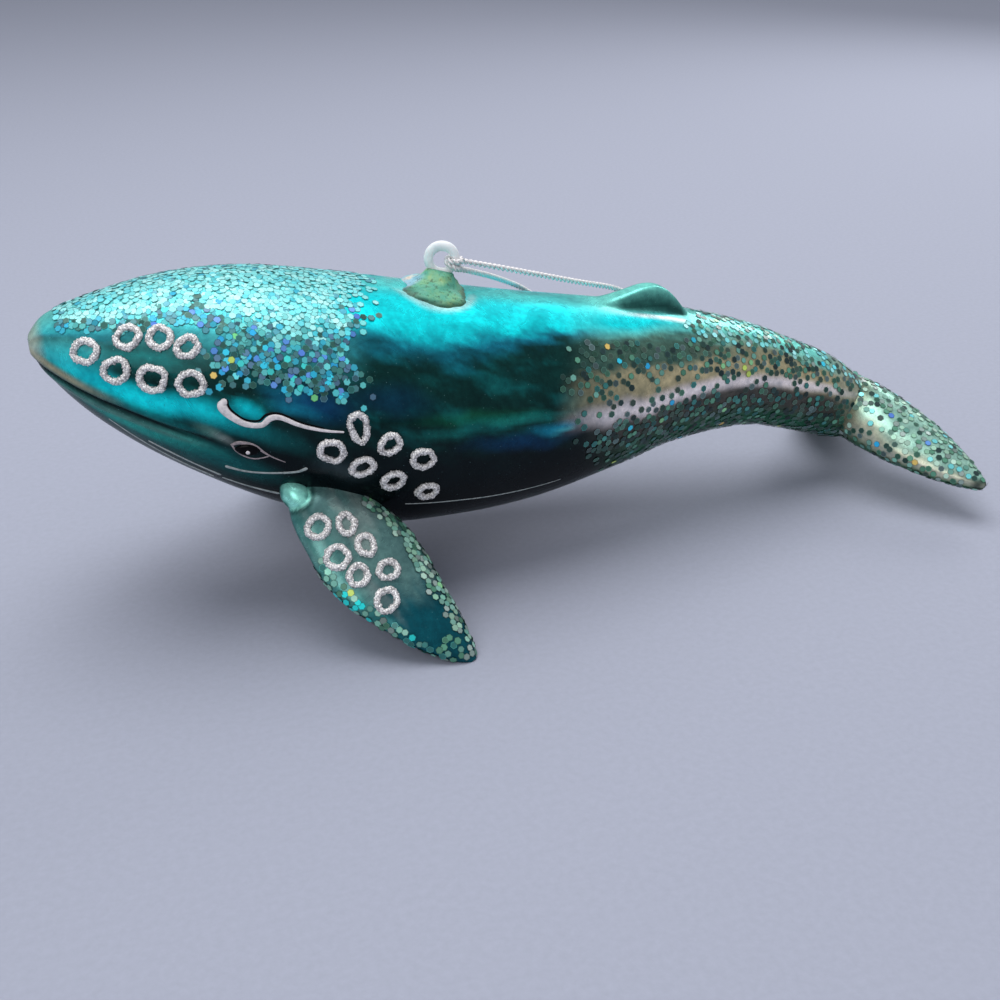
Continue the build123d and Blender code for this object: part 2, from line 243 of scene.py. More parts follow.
def lacqueredGlass():
    # Painted glass under gloss lacquer: the painted tone, cloudy wisps in it, fine dust of glitter and a wavy coat
    material, tree, shader = newMaterial("lacqueredGlass")
    clouds = addPattern(tree, "Noise", 120, Detail=6, Roughness=0.62, Distortion=0.8)["Fac"]
    cloudy = addRamp(clouds, (0.32, (0.66, 0.7, 0.72)), (0.68, (1.22, 1.2, 1.18)))
    mottle = addPattern(tree, "Noise", 900, Detail=3, Roughness=0.7)["Fac"]
    mottled = addRamp(mottle, (0.35, (0.8, 0.82, 0.84)), (0.65, (1.15, 1.13, 1.12)))
    tone = mixTones("MULTIPLY", mixTones("MULTIPLY", paintedTone(tree), cloudy), mottled)
    dust = addPattern(tree, "Voronoi", 1900)
    specks = addRamp(dust["Distance"], (0, 1), (0.09, 1), (0.13, 0))
    rare = addRamp(oneChannel(dust["Color"], "Red"), (0.8, 0), (0.86, 1))
    speckled = mixTones("MULTIPLY", specks, rare)
    waves = addPattern(tree, "Noise", 260, Detail=2)["Fac"]
    addBump(shader, waves, 0.06, 0.0005)
    setInputs(shader, {
        "Base Color": mixTones("ADD", tone, (0.1, 0.19, 0.19, 1), speckled),
        "Roughness": addRamp(clouds, (0.3, 0.2), (0.7, 0.34)),
        "Metallic": 0.45, "Specular IOR Level": 0.2, "Specular Tint": (0.12, 0.3, 0.3, 1),
        "Coat Weight": 0.16, "Coat IOR": 1.45, "Coat Roughness": 0.05,
    })
    return material


def flakeFoil():
    # Cut foil flakes: each has its own tone
    material, tree, shader = newMaterial("flakeFoil")
    grain = addPattern(tree, "Noise", 2600, Detail=2)["Fac"]
    setInputs(shader, {
        "Base Color": paintedTone(tree), "Roughness": addRamp(grain, (0.3, 0.3), (0.7, 0.45)),
        "Metallic": 0.25, "Specular IOR Level": 0.25, "Coat Weight": 0.25, "Coat Roughness": 0.08,
    })
    return material


def gritGlue():
    # Silver glitter set in clear glue: bright grains with darker gaps
    material, tree, shader = newMaterial("gritGlue")
    grains = addPattern(tree, "Voronoi", 3300)
    gaps = addRamp(grains["Distance"], (0.35, (1, 0.98, 0.97)), (0.8, (0.4, 0.4, 0.41)))
    varied = addRamp(oneChannel(grains["Color"], "Red"), (0, (0.6, 0.58, 0.58)), (0.35, (1, 0.98, 0.97)),
                     (1, 1.15))
    addBump(shader, addRamp(grains["Distance"], (0.1, 1), (0.8, 0)), 0.7, 0.00015)
    setInputs(shader, {
        "Base Color": mixTones("MULTIPLY", gaps, varied), "Metallic": 0.3,
        "Roughness": addRamp(oneChannel(grains["Color"], "Green"), (0.3, 0.2), (0.7, 0.6)),
    })
    return material


def brushedCement():
    # Rough cement, brushed with green and yellow paint and darker at its skirt
    material, tree, shader = newMaterial("brushedCement")
    patches = addPattern(tree, "Noise", 330, Detail=5, Roughness=0.6)["Fac"]
    tone = addRamp(patches, (0.3, (0.04, 0.24, 0.18)), (0.48, (0.1, 0.42, 0.28)), (0.62, (0.19, 0.46, 0.24)),
                   (0.76, (0.38, 0.5, 0.18)))
    soot = addPattern(tree, "Noise", 1500, Detail=4, Roughness=0.7)["Fac"]
    dark = addRamp(soot, (0.36, (0.35, 0.38, 0.34)), (0.46, 1))
    tone = mixTones("MULTIPLY", mixTones("MULTIPLY", tone, dark), paintedTone(tree))
    addBump(shader, soot, 0.5, 0.0003)
    setInputs(shader, {"Base Color": tone, "Roughness": 0.62, "Coat Weight": 0.15})
    return material


def milkyRing():
    material, tree, shader = newMaterial("milkyRing")
    haze = addPattern(tree, "Noise", 420, Detail=3)["Fac"]
    addBump(shader, addPattern(tree, "Noise", 2400, Detail=3)["Fac"], 0.25, 0.0001)
    setInputs(shader, {
        "Base Color": addRamp(haze, (0.35, (0.72, 0.76, 0.78)), (0.65, (0.9, 0.92, 0.92))), "Roughness": 0.42,
        "Subsurface Weight": 0.5, "Subsurface Radius": (0.0012, 0.0014, 0.0014), "Subsurface Scale": 1,
    })
    return material


def silverPly():
    # Metallised thread: fine fibres run along each ply
    material, tree, shader = newMaterial("silverPly")
    fibres = addPattern(tree, "Noise", 5200, Detail=3, Roughness=0.7)["Fac"]
    tone = addRamp(fibres, (0.35, (0.66, 0.64, 0.65)), (0.6, (1, 0.97, 0.97)))
    addBump(shader, fibres, 0.4, 0.00008)
    setInputs(shader, {"Base Color": tone, "Metallic": 0.1, "Roughness": 0.3})
    return material


def brushPaint(name, light, dark, roughness, gloss=0.2):
    # A raised line or dot of hand paint, uneven along the brush
    material, tree, shader = newMaterial(name)
    strokes = addPattern(tree, "Noise", 1400, Detail=3)["Fac"]
    addBump(shader, strokes, 0.2, 0.0001)
    setInputs(shader, {
        "Base Color": addRamp(strokes, (0.3, dark), (0.6, light)), "Roughness": roughness,
        "Specular IOR Level": gloss, "Coat Weight": gloss, "Coat Roughness": 0.1,
    })
    return material


glassLook = lacqueredGlass()
foilLook = flakeFoil()
glueLook = gritGlue()
threadLook = silverPly()
print("Materials made")


# Hanging thread: the routes are the CAD's, in metres. Each strand is two plies twisted on its route.
threadRoutes = {
    "upper": [(-0.0123, -0.0005, 0.0512), (-0.0054, 0.0008, 0.049), (0.003, 0.0032, 0.046),
              (0.0126, 0.0066, 0.0424), (0.0216, 0.0108, 0.0391), (0.0284, 0.0156, 0.034),
              (0.0322, 0.0196, 0.0262), (0.0336, 0.0218, 0.0168), (0.0332, 0.0242, 0.0074),
              (0.0296, 0.0282, 0.0011), (0.0224, 0.0316, 0.00062), (0.015, 0.0334, 0.00062),
              (0.0096, 0.0337, 0.0013)],
    "lower": [(-0.01275, -0.0005, 0.04995), (-0.0076, 0.0036, 0.0474), (-0.0016, 0.0094, 0.0438),
              (0.0054, 0.0146, 0.0394), (0.012, 0.019, 0.0326), (0.0172, 0.0222, 0.0236),
              (0.02, 0.0236, 0.014), (0.0208, 0.0258, 0.0058), (0.0186, 0.0292, 0.001),
              (0.0142, 0.0318, 0.00062), (0.0096, 0.0325, 0.0013)],
}
thread = {"diameter": 0.95, "plyRadius": 0.29, "plyShift": 0.82, "pitch": 1.9, "perTurn": 10,
          "lengths": {"upper": 0.105, "lower": 0.0812}}


def routePoints(points, resolution=24):
    # The points of a smooth line through a NURBS spline
    data = bpy.data.curves.new("route", "CURVE")
    data.dimensions = "3D"
    spline = data.splines.new("NURBS")
    spline.points.add(len(points) - 1)
    for target, point in zip(spline.points, points):
        target.co = (*point, 1)
    spline.use_endpoint_u = True
    spline.order_u = 3
    spline.resolution_u = resolution
    line = bpy.data.objects.new("route", data)
    scene.collection.objects.link(line)
    mesh = evaluatedMesh(line)
    found = [vert.co.copy() for vert in mesh.vertices]
    for made, kept in ((line, bpy.data.objects), (data, bpy.data.curves), (mesh, bpy.data.meshes)):
        kept.remove(made)
    return found


def evenPoints(points, step):
    # The same line with its points an even step apart
    walked, result = 0, [points[0].copy()]
    target = step
    for before, after in zip(points, points[1:]):
        length = (after - before).length
        while length > 0 and walked + length >= target:
            result.append(before.lerp(after, (target - walked) / length))
            target += step
        walked += length
    return result


def makePlies(line):
    # Two plies wound round a line, each a small six-sided tube
    plyRadius = thread["plyRadius"] * mm
    line = evenPoints(line, thread["pitch"] * mm / thread["perTurn"])
    made = []
    for ply in (0, pi):
        side = (line[1] - line[0]).orthogonal()
        sections = []
        for index, point in enumerate(line):
            ahead = (line[min(index + 1, len(line) - 1)] - line[max(index - 1, 0)]).normalized()
            side = (side - ahead * side.dot(ahead)).normalized()
            angle = ply + 2 * pi * index / thread["perTurn"]
            outwards = side * cos(angle) + ahead.cross(side) * sin(angle)
            centre = point + outwards * plyRadius * thread["plyShift"]
            sections.append(seatMatrix(centre, ahead, outwards) @ Matrix.Scale(plyRadius, 4))
        made.append(wrapSections(sections, 6))
    return made


def joinParts(parts):
    # One bmesh out of several
    whole = bmesh.new()
    for part in parts:
        mesh = bpy.data.meshes.new("part")
        part.to_mesh(mesh)
        part.free()
        whole.from_mesh(mesh)
        bpy.data.meshes.remove(mesh)
    return whole


def twistedThread(lines):
    return joinParts([ply for line in lines for ply in makePlies(line)])


knot = {"centre": (8.1, 33.1, 1.35), "length": 3.2, "wrapRadius": 0.87, "turns": 3, "perTurn": 8, "swell": 0.12,
        "core": [(-1.25, 0.1), (0, -0.1), (1.3, 0.1)]}


def knotLine():
    # Three turns of thread round the two strands, low on the table
    centre = Vector(knot["centre"])
    span = knot["length"] - thread["diameter"]
    points = []
    steps = knot["turns"] * knot["perTurn"]
    for index in range(steps + 1):
        share = index / steps
        angle = 2 * pi * share * knot["turns"] + 0.6
        swell = 1 - knot["swell"] * (2 * share - 1) ** 2
        around = cos(angle) * knot["wrapRadius"] * swell, sin(angle) * knot["wrapRadius"] * swell
        points.append((centre + Vector(((share - 0.5) * span, *around))) * mm)
    return routePoints(points, resolution=8)


def knotCore():
    return routePoints([(Vector(knot["centre"]) + Vector((*shift, 0))) * mm for shift in knot["core"]], resolution=8)


# The hanging ring, upright in the cement, and the hitch round it
ring = {"centre": (-15.25, 0, 51.8), "outer": 2.92, "hole": 1.4, "holeDrop": 0.2, "thickness": 0.72, "turn": 17,
        "segments": 72}
hitch = {"middle": 2.11, "wrapRadius": 1.2, "wraps": (-34, -8), "perWrap": 12, "slant": 0.03,
         "bridge": (-42, -32, -21, -10, 0), "bridgeTurn": -48, "bridgeLift": 0.24}


def ringSeat():
    turn = radians(ring["turn"])
    facing = Vector((sin(turn), cos(turn), 0))
    return seatMatrix(Vector(ring["centre"]) * mm, -facing, Vector((cos(turn), -sin(turn), 0)))


def makeHitch():
    # A lark's head: two wraps round the ring's wire and a bridge over them
    seat = ringSeat()

    def wrapPoint(angle, spot, away):
        out = Vector((cos(spot), sin(spot), 0))
        return seat @ ((out * (hitch["middle"] + cos(angle) * away) + Vector((0, 0, sin(angle) * away))) * mm)

    radius, perWrap = hitch["wrapRadius"], hitch["perWrap"]
    routes = [[wrapPoint(2 * pi * step / perWrap, radians(spot) + hitch["slant"] * step / perWrap, radius)
               for step in range(perWrap + 1)] for spot in hitch["wraps"]]
    turn, away = radians(hitch["bridgeTurn"]), radius + hitch["bridgeLift"]
    routes.append([wrapPoint(turn, radians(spot), away) for spot in hitch["bridge"]])
    lines = [routePoints(route, resolution=6) for route in routes]
    return newObject("threadHitch", twistedThread(lines), threadLook, "thread_hitch", slotName="thread")


threadHitch = makeHitch()
knotThread = twistedThread([knotLine(), knotCore()])
threadKnot = newObject("threadKnot", knotThread, threadLook, "thread_knot", slotName="thread")
for name, points in threadRoutes.items():
    line = routePoints(points)
    strand = newObject(name + "Thread", twistedThread([line]), threadLook, f"thread_{name}_strand", slotName="thread")
    [tuple(p) for p in line]
print("Thread laid")

# Body: sections from the snout to the tail stock, millimetres: place, middle, half height, half width
body = {
    "sections": [(-80, 45.4, 0.9, 1), (-79.3, 45.3, 2.4, 2.5), (-77.2, 44.6, 5, 5.2), (-70.2, 41.6, 10.1, 10.4),
                 (-58.6, 38, 15.6, 15.6), (-46.4, 34.2, 19.1, 18.8), (-31.9, 29.7, 20.9, 20.4),
                 (-16.3, 27.3, 19.9, 19.8), (-1.7, 26, 18.1, 17.7), (13.4, 26, 15.3, 14.8),
                 (25.2, 26.2, 12.6, 12.2), (41.7, 24, 9.8, 9.2), (52.9, 20, 8.8, 7.8), (62, 16.2, 8, 6.8),
                 (68, 13.6, 5.6, 5.2), (70.4, 12.5, 2.8, 2.8)],
    "segments": 192,
    "mouth": [(-82, 45.1), (-78.6, 43.2), (-73, 40), (-67.5, 37.5), (-61.8, 35), (-55, 32.5)],
    "mouthWidth": 0.55, "mouthDepth": 0.55, "lipWidth": 1.5, "lipRise": 0.36,
    "eye": (-51.8, -15.5), "eyeReach": (3.4, 6.5), "eyeRise": 0.3,
    "firstStep": 0.08, "stepGrowth": 0.2, "widestStep": 0.62,
}
dorsal = {"rise": [(11, 0), (13.5, 0.35), (17.6, 1.85), (20.5, 3.1), (22.9, 3.65), (25.2, 3.4), (27.2, 2.1),
                   (28.8, 0.55), (30, 0)], "halfWidth": 3.3, "rimWidth": 1.15, "hollow": 0.4}
snout, stock = body["sections"][0][0], body["sections"][-1][0]
bodyRows = [(sqrt(place - snout), *rest) for place, *rest in body["sections"]]


def sectionAt(place):
    return smoothRow(bodyRows, sqrt(max(place - snout, 0)))


def angleOn(point):
    # Degrees above the side, the same on both sides
    middle, halfHeight, halfWidth = sectionAt(point.x)
    height = (point.z - middle) / halfHeight
    across = abs(point.y) / halfWidth
    return Vector((across, height)).angle_signed(Vector((1, 0)), 0) * 180 / pi


def mouthGap(point):
    return point.z - smoothRow(body["mouth"], point.x)[0]


def bodyShift(point):
    # How far the skin stands out of the plain form: the lips, the mouth groove and the rise under the eye
    shift = 0
    if point.x < -54:
        fade = (1 - ramp(point.x, -60, -54.5)) * ramp(point.x, -80, -77.6)
        gap = mouthGap(point)
        shift += body["lipRise"] * bump(gap - 0.85, body["lipWidth"]) * fade
        shift += 0.4 * body["lipRise"] * bump(gap + 1.35, 0.9) * fade
        shift -= body["mouthDepth"] * bump(gap + 0.3, body["mouthWidth"] * 1.3) * fade
    if point.x < -45 and abs(point.y) > 8:
        (place, angle), (along, spread) = body["eye"], body["eyeReach"]
        away = Vector(((point.x - place) / along, (angleOn(point) - angle) / spread))
        shift += body["eyeRise"] * bump(away.length, 1)
    return shift


def makeBody():
    places = [snout]
    while places[-1] < stock:
        step = body["firstStep"] + body["stepGrowth"] * sqrt(places[-1] - snout)
        places.append(places[-1] + min(step, body["widestStep"]))
    sections = [sectionAt(place) for place in places]

    def placeAt(step, turn):
        middle, halfHeight, halfWidth = sections[step]
        return Vector((places[step], halfWidth * cos(turn), middle + halfHeight * sin(turn))) * mm

    bm = wrapGrid(len(places) - 1, body["segments"], placeAt)
    for vert in bm.verts:
        point = vert.co / mm
        vert.co += vert.normal * bodyShift(point) * mm
        if 11 < point.x < 30 and vert.normal.z > 0.5:
            rise = smoothRow(dorsal["rise"], point.x)[0]
            across = abs(point.y)
            crest = 1 - ramp(across, dorsal["rimWidth"], dorsal["halfWidth"])
            vert.co.z += (rise * crest - dorsal["hollow"] * min(rise / 2, 1) * bump(across - 2.4, 0.9)) * mm
    return newObject("glassBody", bm, glassLook, "body_shell")


glassBody = makeBody()
bodyTree = BVHTree.FromObject(glassBody, bpy.context.evaluated_depsgraph_get())
print("Body made,", len(glassBody.data.vertices), "vertices")


def onSkin(place, angle, side):
    # Where a line from the body's middle comes out, and which way the skin faces there
    start = Vector((place, 0, sectionAt(place)[0])) * mm
    outwards = Vector((0, side * cos(radians(angle)), sin(radians(angle))))
    return bodyTree.ray_cast(start + outwards * 0.06, -outwards)[:2]


# Paint tones, from the snout's tan to the silvered tail, some also used for painted highlight, shade and reflection
tones = {
    "black": (0.003, 0.006, 0.008), "deepGreen": (0.004, 0.045, 0.04), "teal": (0.006, 0.16, 0.16),
    "cyan": (0.005, 0.86, 0.92), "mint": (0.22, 0.78, 0.68), "pale": (0.55, 0.88, 0.85), "blue": (0.004, 0.06, 0.17),
    "beige": (0.54, 0.47, 0.28), "silver": (1, 0.9, 0.89), "slate": (0.03, 0.12, 0.1), "tan": (0.5, 0.44, 0.28),
    "grass": (0.01, 0.17, 0.08), "grey": (0.1, 0.24, 0.2), "smoke": (0.05, 0.08, 0.09), "azure": (0.01, 0.28, 0.42),
    "aqua": (0.1, 0.62, 0.64), "jade": (0.02, 0.4, 0.34), "umber": (0.075, 0.07, 0.06), "cream": (0.52, 0.54, 0.4),
}
# Dabs on the body, on both sides alike, some the glass's own paint and some painted highlights: tone, place, degrees
# above the side, reaches along and round, strength
bodyDabsAndHighlights = [
    # On this line and the next, the cyan dabs by the snout and along the upper lip are a painted highlight strip
    ("aqua", -75.5, 18, 8, 34, 0.9), ("teal", -65, 26, 12, 14, 0.5), ("cyan", -74.5, 12, 6.5, 24, 0.6),
    ("cyan", -64, -1, 19, 12.5, 1), ("cyan", -70, 4, 8, 12, 0.85), ("cyan", -51, 7, 3.4, 6, 0.95),
    ("blue", -42, 17, 9, 11, 0.8), ("azure", -46, 19, 5, 6, 0.3), ("blue", -30, 22, 10, 10, 0.35),
    # The azure dab low on the flank here is a painted highlight
    ("blue", -8, -2, 14, 7, 0.5), ("azure", -2, 4, 6.5, 4.5, 0.9), ("aqua", -0.5, 2.5, 3.5, 2.2, 0.5),
    ("grass", -16, 13, 14, 6, 0.5), ("jade", -9, 11, 11, 5, 0.45), ("jade", -21, 6, 9, 4, 0.25),
    # The azure dab beside the scroll here is a painted highlight
    ("teal", -48.5, -3.5, 9, 8, 0.5), ("grey", -56.5, -13, 3.6, 5, 0.85), ("azure", -44.5, 12.5, 5.5, 4.5, 0.6),
    # The jade dabs on the jaw, on this line and the next, are painted highlights
    ("smoke", -38, -12, 6, 8, 0.6), ("jade", -67, -30, 12, 10, 0.9), ("teal", -54, -29, 11, 14, 0.7),
    ("jade", -61.5, -24, 9, 7, 0.8), ("silver", -55, -13.6, 2.3, 3.4, 0.16),
]


def layTones(tone, *coats):
    # Coats of paint over a tone: each is a tone, or the name of one, and its share
    tone = tones.get(tone, tone)
    for coat, share in coats:
        tone = blendTone(tone, tones.get(coat, coat), share)
    return tone


def highlightBandAngle(place):
    # The middle of the painted highlight band along the tail, in degrees above the side
    return 4 + 0.45 * max(place - 26, 0)


def bodyTone(point, normal):
    place, angle = point.x, angleOn(point)
    wander = 5 * noise(point * 0.06) + 2.5 * noise(point * 0.21)
    height = angle + wander
    mist = fractal(Vector((place * 0.1 + angle * 0.025, angle * 0.075, point.y * 0.05)), 0.7, 2.1, 6)
    soft = 1 - ramp(place, -21, -6)
    head = (1 - ramp(place + 0.5 * wander, -42, -31)) * ramp(height + 0.35 * (place + 50), 24, 50)
    jaw = 1 - ramp(place, -66, -46)
    tone = layTones(
        # From the black belly up to the back: darker downwards, partly the glass's colour and partly painted shade, and
        # the azure, cyan and mint high on the back partly its colour and partly a painted reflection of the light above
        "black", ("deepGreen", 0.8 * ramp(height + 12 * mist, -16, 26)),
        ("teal", 0.6 * ramp(mist, 0, 0.7) * ramp(height, -4, 12) * (1 - ramp(height, 38, 48))),
        ("azure", 0.85 * ramp(height + 8 * mist, 46 - 11 * soft, 57 - 3 * soft)),
        ("cyan", ramp(height + 5 * mist, 53 - 9 * soft, 60 - 3 * soft)), ("mint", 0.55 * ramp(height, 72, 86)),
        # Under the head's flakes, and the jaw
        ("aqua", 0.85 * head), ("mint", 0.6 * head * ramp(height, 50, 80)),
        ("teal", 0.8 * jaw * bump(height + 32, 26)),
    )
    # Silvered towards the tail, with a painted highlight band, a dark rear flank and a green keel, and mint along the
    # top and cyan by the dorsal fin, partly painted reflection of the light above
    tail = ramp(place + 0.35 * wander - 0.1 * abs(height - 10), -3, 9)
    band = highlightBandAngle(place)
    dusky = 0.9 - 0.55 * ramp(place, 24, 42)
    forward = bump(place - 16, 17) * bump(height - 63, 16)
    rear = layTones("umber", ("grass", 0.9 * ramp(-height, 12, 42)))
    rear = layTones(
        "black", (rear, ramp(place + 0.2 * (height + 30), 2, 18)), ("beige", 0.9 * ramp(height, 2, 16)),
        # The silver band here is a painted highlight
        ("silver", bump(height - band, 9.5)), ("slate", dusky * ramp(height + 5 * mist, band + 19, band + 28)),
        ("mint", ramp(height + 8 * mist, 42, 60)),
        ("cream", 0.85 * ramp(place + 0.5 * wander, 56, 64) * ramp(height, -40, 0)),
        ("cyan", min(1.2 * forward, 1)),
    )
    tone = blendTone(tone, rear, tail)
    for name, along, above, reach, spread, strength in bodyDabsAndHighlights:
        away = Vector(((place - along) / reach, (height - above) / spread)).length
        if away < 1:
            tone = blendTone(tone, tones[name], strength * bump(away, 1))
    # The upper lip is teal with a tan painted highlight along its ridge, the groove under it is dark, the lower lip
    # carries a grey painted highlight, and a tan and pale painted highlight runs round the snout tip
    if place < -53:
        fade, gap = 1 - ramp(place, -64, -54), mouthGap(point)
        tone = layTones(
            tone, ("teal", 0.75 * bump(gap - 0.8, 1.3) * fade),
            ("tan", 0.75 * bump(gap - 1, 1.1) * (1 - ramp(place, -76, -67))),
            ("grey", 0.8 * bump(gap + 1.5, 1) * fade),
            ("black", bump(gap + 0.35, 0.85) * (1 - ramp(place, -58, -53.5))),
            ("tan", 0.85 * bump(place + 80, 2.6) * ramp(gap, -0.5, 0.5)),
            ("pale", 0.3 * bump(place + 79.6, 2) * ramp(gap, 0, 2.5)),
        )
    # Round the dorsal fin: a dark side face of painted shade under a pale rolled rim and a mint crest of painted
    # highlight
    if 11 < place < 30 and point.z > 36:
        rise, across = smoothRow(dorsal["rise"], place)[0], abs(point.y)
        side = bump(across - 2.5, 1.6) * min(rise / 1.4, 1)
        tone = layTones(
            tone, ("deepGreen", 0.95 * side), ("silver", 0.7 * bump(across - 4.6, 0.9) * min(rise / 2.5, 1)),
            ("mint", 0.9 * bump(across, 1.3) * min(rise, 1)),
        )
    # A pale feather of lacquer round the foot of the cement, widest towards the head
    if -27 < place < -8 and point.z > 40:
        away = Vector((place + 17, point.y * 0.88)).length
        reach = 1 + 1.1 * ramp(-17 - place, -2, 5)
        tone = layTones(tone, ("pale", 0.85 * bump(away - 6.4, reach) * ramp(mist, -0.5, 0.1)))
    return tone


paintVerts(glassBody.data, bodyTone)
print("Body painted")

# Flippers: rows of share of the span, half chord, half thickness and shift towards the trailing edge
flipper = {
    "root": (-38.8, -36), "tip": (-24.1, -38, 0), "depth": 5, "pitch": 10, "toe": 0.4,
    "rows": [(0, 0.6, 0.5, -1.8), (0.01, 2.4, 1.5, -1.8), (0.035, 4.3, 2.4, -2), (0.08, 5.6, 3, -2),
             (0.15, 6.5, 3.3, -2), (0.25, 7.4, 3.3, -2), (0.38, 8.4, 3.1, -1.8), (0.5, 8.1, 2.8, -1.8),
             (0.62, 6.9, 2.5, -1.6), (0.75, 5.5, 2.2, -1.1), (0.84, 4.3, 1.85, -0.6), (0.95, 2.2, 1.2, 0.1),
             (1, 0.7, 0.5, 0.5)],
    "steps": 84, "sides": 64, "ripple": 0.16, "knob": (-5, 0.7, 0.035), "knobSize": (2.2, 2.2, 3.2),
}


def flipperFrame():
    root, tip, pitch = onSkin(*flipper["root"], -1)[0] / mm, Vector(flipper["tip"]), radians(flipper["pitch"])
    return seatMatrix(root, tip - root, Vector((cos(pitch), 0, -sin(pitch)))), (tip - root).length


flipperMatrix, flipperSpan = flipperFrame()
flipperInverse = flipperMatrix.inverted()


def flipperReach(share):
    return -flipper["depth"] + share * (flipper["depth"] + flipperSpan + flipper["toe"])


def flipperShare(at):
    return (at.z + flipper["depth"]) / (flipper["depth"] + flipperSpan)


def knobFrame():
    across, out, share = flipper["knob"]
    place = Matrix.Translation((across, out, flipperReach(share)))
    return Matrix.Scale(mm, 4) @ flipperMatrix @ place @ Matrix.Diagonal((*flipper["knobSize"], 1))


knobMatrix = knobFrame()
knobInverse = knobMatrix.inverted()


def makeLeaf(rows, shares, sides, seat, reachAt):
    # Flat ovals up a leaf of glass
    sections = []
    for share in shares:
        halfChord, halfThickness, shift = smoothRow(rows, share)
        level = seat @ Matrix.Translation((shift, 0, reachAt(share)))
        sections.append(Matrix.Scale(mm, 4) @ level @ Matrix.Diagonal((halfChord, halfThickness, 1, 1)))
    return wrapSections(sections, sides)


def makeFlipper():
    shares = [(1 - cos(pi * index / flipper["steps"])) / 2 for index in range(flipper["steps"] + 1)]
    leaf = makeLeaf(flipper["rows"], shares, flipper["sides"], flipperMatrix, flipperReach)
    # A rounded knob of glass stands where it was fused on
    knob = bmesh.new()
    bmesh.ops.create_icosphere(knob, subdivisions=5, radius=1)
    bmesh.ops.transform(knob, matrix=knobMatrix, verts=knob.verts)
    bm = joinParts([leaf, knob])
    bm.normal_update()
    for vert in bm.verts:
        vert.co += vert.normal * flipper["ripple"] * noise(vert.co * 260) * mm
        vert.co.z = max(vert.co.z, 0)
    return newObject("leftFlipper", bm, glassLook, "left_flipper")


def flipperTone(point, normal):
    # Milky at the top, deep teal towards the tip, darker towards the trailing edge and paler along the leading one; the
    # knob where it was fused on is mint on its lit side and dark on the other, painted highlight and painted shade,
    # with a dark ring of painted shade where it meets the leaf
    at, spot = flipperInverse @ point, knobInverse @ (point * mm)
    share, away = flipperShare(at), spot.length
    wisp = fractal(Vector((at.x * 0.35, at.y * 0.35, at.z * 0.09)), 0.9, 2, 4)
    lit = ramp(spot.y - 0.5 * spot.x + 0.6 * noise(point * 0.9), 0.1, 0.9)
    return layTones(
        (0.11, 0.23, 0.22), ((0.004, 0.09, 0.12), ramp(share + 0.16 * wisp, 0.46, 0.72)),
        ((0.28, 0.35, 0.33), 0.6 * ramp(wisp, 0.05, 0.5) * (1 - ramp(share, 0.55, 0.8))),
        ((0.02, 0.14, 0.12), 0.6 * ramp(at.x, 2, 7)), ((0.05, 0.34, 0.3), 0.5 * ramp(-at.x, 5, 8.5)),
        # Across the knob: mint painted highlight on its lit side, painted shade on the other
        (blendTone((0.03, 0.2, 0.17), (0.34, 0.88, 0.74), lit), 1 - ramp(away, 1.06, 1.18)),
        # A ring of painted shade round the knob's foot
        ((0.005, 0.05, 0.045), 0.8 * bump(away - 1.26, 0.2)),
    )


def mirrorPiece(piece, name, node, **slots):
    # The same piece on the whale's other side
    bm = bmesh.new()
    bm.from_mesh(piece.data)
    bmesh.ops.scale(bm, vec=(1, -1, 1), verts=bm.verts)
    bmesh.ops.reverse_faces(bm, faces=bm.faces)
    return newObject(name, bm, piece.data.materials[0], node, **slots)


leftFlipper = makeFlipper()
paintVerts(leftFlipper.data, flipperTone)
rightFlipper = mirrorPiece(leftFlipper, "rightFlipper", "right_flipper")
print("Flippers made")

# Flukes: two puffy lobes, rows of share of the span, half chord, half thickness and shift
flukes = {
    "root": (66.1, 0, 14.5), "span": 28, "tipPlace": 78.5, "rises": ((-1, 7), (1, 0.4)), "steps": 48, "sides": 48,
    "rows": [(0, 5.4, 5.8, 0), (0.12, 6.6, 5.7, 0), (0.28, 7.4, 5, 0), (0.52, 7, 3.7, 0),
             (0.78, 4.6, 2.5, 0), (0.93, 2.3, 1.45, 0), (1, 0.9, 0.8, 0)],
    "voxel": 0.55, "smoothing": 8,
}


def makeFlukes():
    root = Vector(flukes["root"])
    shares = [1 - (1 - index / flukes["steps"]) ** 1.4 for index in range(flukes["steps"] + 1)]
    lobes = []
    for side, rise in flukes["rises"]:
        along = Vector((flukes["tipPlace"], side * flukes["span"], rise)) - root
        lobes.append(makeLeaf(flukes["rows"], shares, flukes["sides"], seatMatrix(root, along),
                              lambda share: share * along.length))
    bm = joinParts(lobes)
    for vert in bm.verts:
        vert.co.z = max(vert.co.z, 0)
    piece = newObject("tailFlukes", bm, glassLook, "tail_flukes")
    whole = piece.modifiers.new("whole", "REMESH")
    whole.mode, whole.voxel_size = "VOXEL", flukes["voxel"] * mm
    soft = piece.modifiers.new("soft", "SMOOTH")
    soft.factor, soft.iterations = 0.5, flukes["smoothing"]
    rough, piece.data = piece.data, evaluatedMesh(piece)
    piece.modifiers.clear()
    bpy.data.meshes.remove(rough)
    piece.data.shade_smooth()
    piece.data.update()
    return piece


def skinGap(point):
    # How far a place is from the body's skin
    return bodyTree.find_nearest(point * mm)[3] / mm


